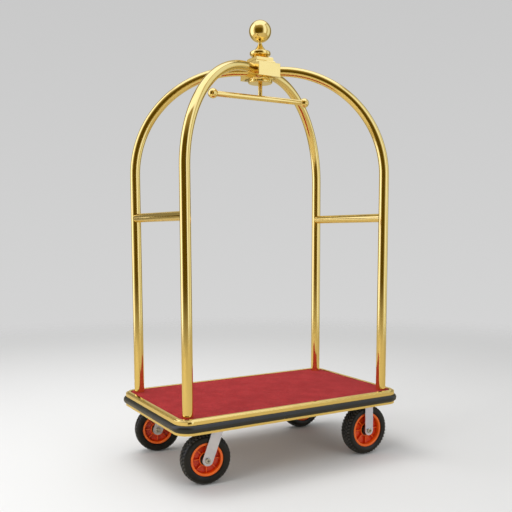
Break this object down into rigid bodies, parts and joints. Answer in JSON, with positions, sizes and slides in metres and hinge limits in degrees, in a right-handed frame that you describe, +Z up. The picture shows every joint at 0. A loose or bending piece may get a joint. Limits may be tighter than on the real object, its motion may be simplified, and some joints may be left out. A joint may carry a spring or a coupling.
{
  "type": "hotel luggage cart",
  "caption": "Hotel luggage cart: carpeted deck on casters, tall gold posts curving up to a central hub with a hanging rail below it and a ball on top.",
  "frame": {"origin": "on the floor under the middle of the deck", "axes": "+X along the deck towards the fixed casters, +Y across it towards the back, +Z up"},
  "size_m": [1.076, 0.644, 1.8913],
  "materials": {
    "polished_gold": "polished, gold-plated",
    "red_carpet": "low cut pile",
    "dark_bumper": "satin",
    "plywood": "sealed plywood",
    "black_steel": "satin black paint",
    "zinc_steel": "bright zinc plate",
    "bright_steel": "zinc plate",
    "orange_rim": "moulded, glossy",
    "black_tyre": "moulded rubber with a block tread"
  },
  "bodies": {
    "cart": {"post_back_left": "polished_gold", "post_back_right": "polished_gold", "post_front_left": "polished_gold", "post_front_right": "polished_gold", "crossbar_left": "polished_gold", "crossbar_right": "polished_gold", "hub_block": "polished_gold", "hub_cap": "polished_gold", "hub_underplate": "polished_gold", "finial_collar": "polished_gold", "finial_bell": "polished_gold", "finial_ball": "polished_gold", "hanger_rod": "polished_gold", "hanging_rail": "polished_gold", "rail_end_balls": "polished_gold", "top_trim": "polished_gold", "bottom_trim": "polished_gold", "carpet": "red_carpet", "bumper": "dark_bumper", "deck_board": "plywood", "frame_rail_back": "black_steel", "frame_rail_front": "black_steel", "frame_rail_left": "black_steel", "frame_rail_right": "black_steel", "caster_beam_left": "black_steel", "caster_beam_right": "black_steel", "swivel_plate_back": "zinc_steel", "swivel_plate_front": "zinc_steel", "fixed_fork_back": "zinc_steel", "fixed_fork_front": "zinc_steel", "kingpin_back": "bright_steel", "kingpin_front": "bright_steel", "axle_bolt_back_right": "bright_steel", "axle_bolt_front_right": "bright_steel", "axle_sleeve_back_right": "bright_steel", "axle_sleeve_front_right": "bright_steel", "caster_bolts": "bright_steel", "post_nuts": "bright_steel", "post_plugs": "bright_steel"},
    "swivel_front": {"swivel_fork_front": "zinc_steel", "swivel_balls_front": "bright_steel", "axle_bolt_front_left": "bright_steel", "axle_sleeve_front_left": "bright_steel"},
    "swivel_back": {"swivel_fork_back": "zinc_steel", "swivel_balls_back": "bright_steel", "axle_bolt_back_left": "bright_steel", "axle_sleeve_back_left": "bright_steel"},
    "wheel_front_left": {"tyre_front_left": "black_tyre", "rim_front_left": "orange_rim", "wheel_bearings_front_left": "bright_steel"},
    "wheel_front_right": {"tyre_front_right": "black_tyre", "rim_front_right": "orange_rim", "wheel_bearings_front_right": "bright_steel"},
    "wheel_back_left": {"tyre_back_left": "black_tyre", "rim_back_left": "orange_rim", "wheel_bearings_back_left": "bright_steel"},
    "wheel_back_right": {"tyre_back_right": "black_tyre", "rim_back_right": "orange_rim", "wheel_bearings_back_right": "bright_steel"}
  },
  "joints": [
    {"name": "swivel_front_turn", "type": "hinge", "parent": "cart", "child": "swivel_front", "pos_m": [-0.346, -0.24, 0.23], "axis": [0, 0, 1], "continuous": true},
    {"name": "swivel_back_turn", "type": "hinge", "parent": "cart", "child": "swivel_back", "pos_m": [-0.346, 0.24, 0.23], "axis": [0, 0, 1], "continuous": true},
    {"name": "wheel_front_left_roll", "type": "hinge", "parent": "swivel_front", "child": "wheel_front_left", "pos_m": [-0.38835, -0.23253, 0.099], "axis": [0.1736, 0.9848, 0], "continuous": true},
    {"name": "wheel_back_left_roll", "type": "hinge", "parent": "swivel_back", "child": "wheel_back_left", "pos_m": [-0.38689, 0.25329, 0.099], "axis": [0.309, 0.9511, 0], "continuous": true},
    {"name": "wheel_front_right_roll", "type": "hinge", "parent": "cart", "child": "wheel_front_right", "pos_m": [0.378, -0.248, 0.108], "axis": [0, 1, 0], "continuous": true},
    {"name": "wheel_back_right_roll", "type": "hinge", "parent": "cart", "child": "wheel_back_right", "pos_m": [0.378, 0.248, 0.108], "axis": [0, 1, 0], "continuous": true}
  ]
}
